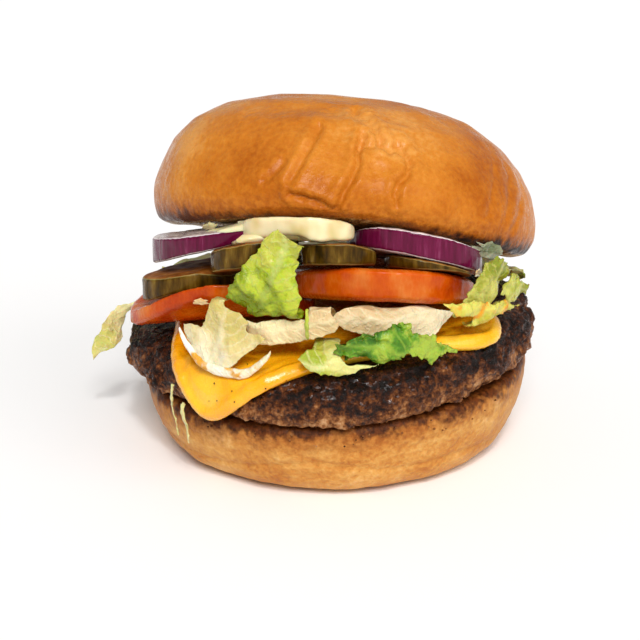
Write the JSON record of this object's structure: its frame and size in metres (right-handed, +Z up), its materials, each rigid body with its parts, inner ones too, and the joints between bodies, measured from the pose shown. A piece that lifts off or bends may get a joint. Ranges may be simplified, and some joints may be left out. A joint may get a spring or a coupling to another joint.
{
  "type": "hamburger",
  "caption": "Hamburger on a glossy round bun with a grilled beef patty, melted cheese, lettuce, tomato, pickles, red onion and white sauce.",
  "frame": {"origin": "middle of the flat foot of the bottom bun, on the surface it rests on", "axes": "+Z up, -Y towards the front side that the picture shows, +X to the right seen from the front"},
  "size_m": [0.1351, 0.1292, 0.1056],
  "materials": {
    "bun_crust_top": "glossy egg-washed crust, golden brown",
    "bun_crust_bottom": "soft baked crust, tan",
    "grilled_beef": "craggy char-grilled ground beef, moist",
    "melted_cheese": "smooth melted processed cheese",
    "tomato_flesh": "wet cut tomato with skin at the rim",
    "red_onion": "wet purple skin, whitish cut faces",
    "pickle_flesh": "wet olive-brown pickled cucumber",
    "white_sauce": "smooth creamy sauce",
    "lettuce_leaf": "crisp leaf with a waxy sheen"
  },
  "bodies": {
    "root": {"top_bun": "bun_crust_top", "bottom_bun": "bun_crust_bottom", "patty": "grilled_beef", "cheese": "melted_cheese", "tomato_left": "tomato_flesh", "tomato_right": "tomato_flesh", "onion_left": "red_onion", "onion_right": "red_onion", "pickle_left": "pickle_flesh", "pickle_middle_left": "pickle_flesh", "pickle_middle": "pickle_flesh", "pickle_right": "pickle_flesh", "sauce": "white_sauce", "lettuce_upright": "lettuce_leaf", "lettuce_fold": "lettuce_leaf", "lettuce_cream_left": "lettuce_leaf", "lettuce_cream_right": "lettuce_leaf", "lettuce_frill": "lettuce_leaf", "lettuce_lime": "lettuce_leaf", "lettuce_right_upright": "lettuce_leaf", "lettuce_right_low": "lettuce_leaf", "lettuce_right_strip": "lettuce_leaf", "lettuce_left": "lettuce_leaf", "lettuce_back_left": "lettuce_leaf", "lettuce_back": "lettuce_leaf", "lettuce_back_right": "lettuce_leaf", "shred_outer": "lettuce_leaf", "shred_inner": "lettuce_leaf", "shred_green": "lettuce_leaf"}
  },
  "joints": []
}
